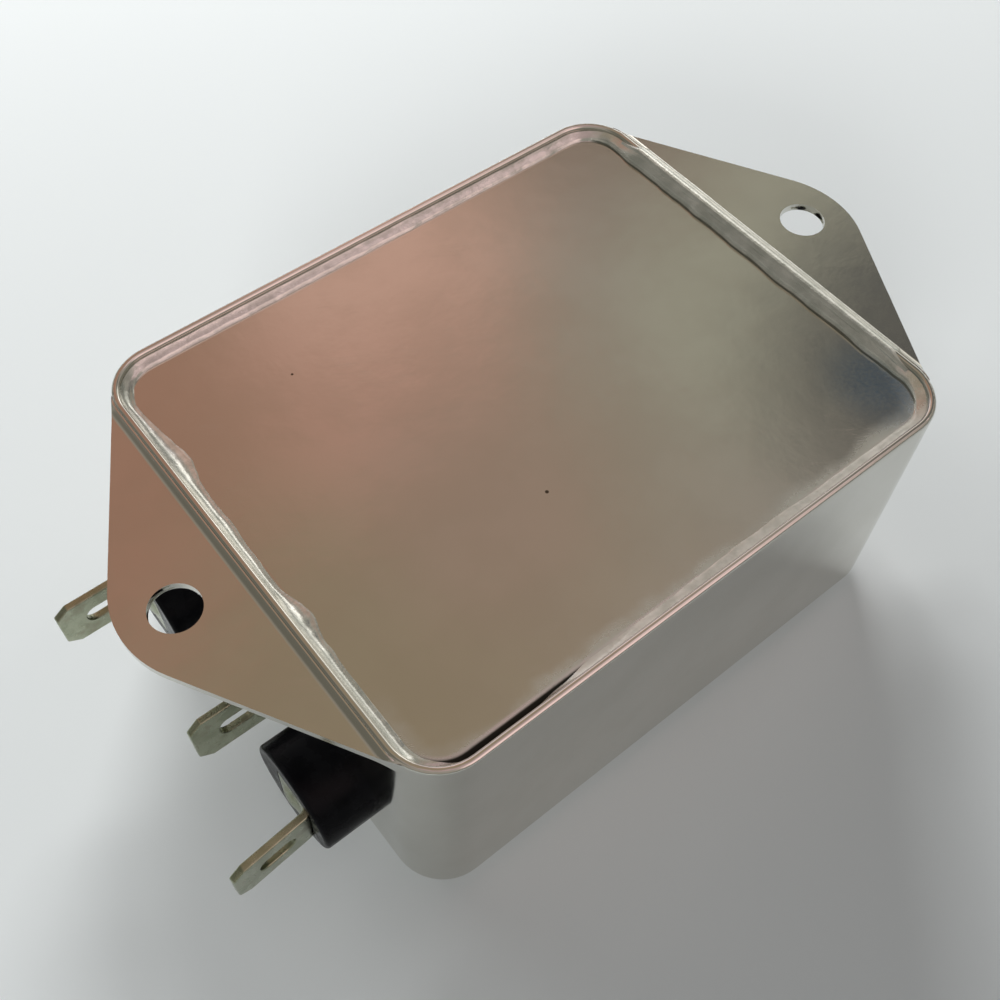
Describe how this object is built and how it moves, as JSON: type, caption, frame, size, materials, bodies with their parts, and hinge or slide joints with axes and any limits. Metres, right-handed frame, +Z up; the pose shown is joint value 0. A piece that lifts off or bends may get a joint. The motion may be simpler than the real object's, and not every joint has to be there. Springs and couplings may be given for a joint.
{
  "type": "emi line filter",
  "caption": "Chassis-mount mains line filter in a drawn metal case, with a mounting ear at each end and riveted quick-connect tabs.",
  "frame": {"origin": "middle of the closed face that the case lies on", "axes": "+X along the length towards the load end, +Y across, +Z up through the cover to the mounting side"},
  "size_m": [0.0908, 0.052, 0.03],
  "materials": {
    "tinned_steel": "hot-tinned sheet, satin, slightly mottled",
    "solder": "bright tin solder, uneven",
    "black_insulator": "turned black thermoset, glossy",
    "plated_brass": "dull nickel plate",
    "fibre": "vulcanised fibre",
    "ferrite": "green coating on ferrite",
    "white_plastic": "satin",
    "enamelled_copper": "clear enamel on copper wire",
    "film_case": "moulded box, satin",
    "ceramic_coat": "dipped coating",
    "resistor_coat": "matt lacquer"
  },
  "bodies": {
    "root": {"can": "tinned_steel", "cover": "tinned_steel", "tin_seam": "solder", "line_insulator_1": "black_insulator", "line_insulator_2": "black_insulator", "load_insulator_1": "black_insulator", "load_insulator_2": "black_insulator", "line_tab_1": "plated_brass", "line_tab_2": "plated_brass", "load_tab_1": "plated_brass", "load_tab_2": "plated_brass", "earth_tab": "plated_brass", "terminal_rivets": "plated_brass", "earth_rivet": "plated_brass", "solder_lugs": "plated_brass", "inner_washers": "fibre", "insulating_sheet": "fibre", "choke_core": "ferrite", "choke_divider": "white_plastic", "line_lead_1": "white_plastic", "line_lead_2": "white_plastic", "load_lead_1": "white_plastic", "load_lead_2": "white_plastic", "winding_1": "enamelled_copper", "winding_2": "enamelled_copper", "line_film_capacitor": "film_case", "load_film_capacitor": "film_case", "disc_capacitor_1": "ceramic_coat", "disc_capacitor_2": "ceramic_coat", "bleed_resistor": "resistor_coat"}
  },
  "joints": []
}
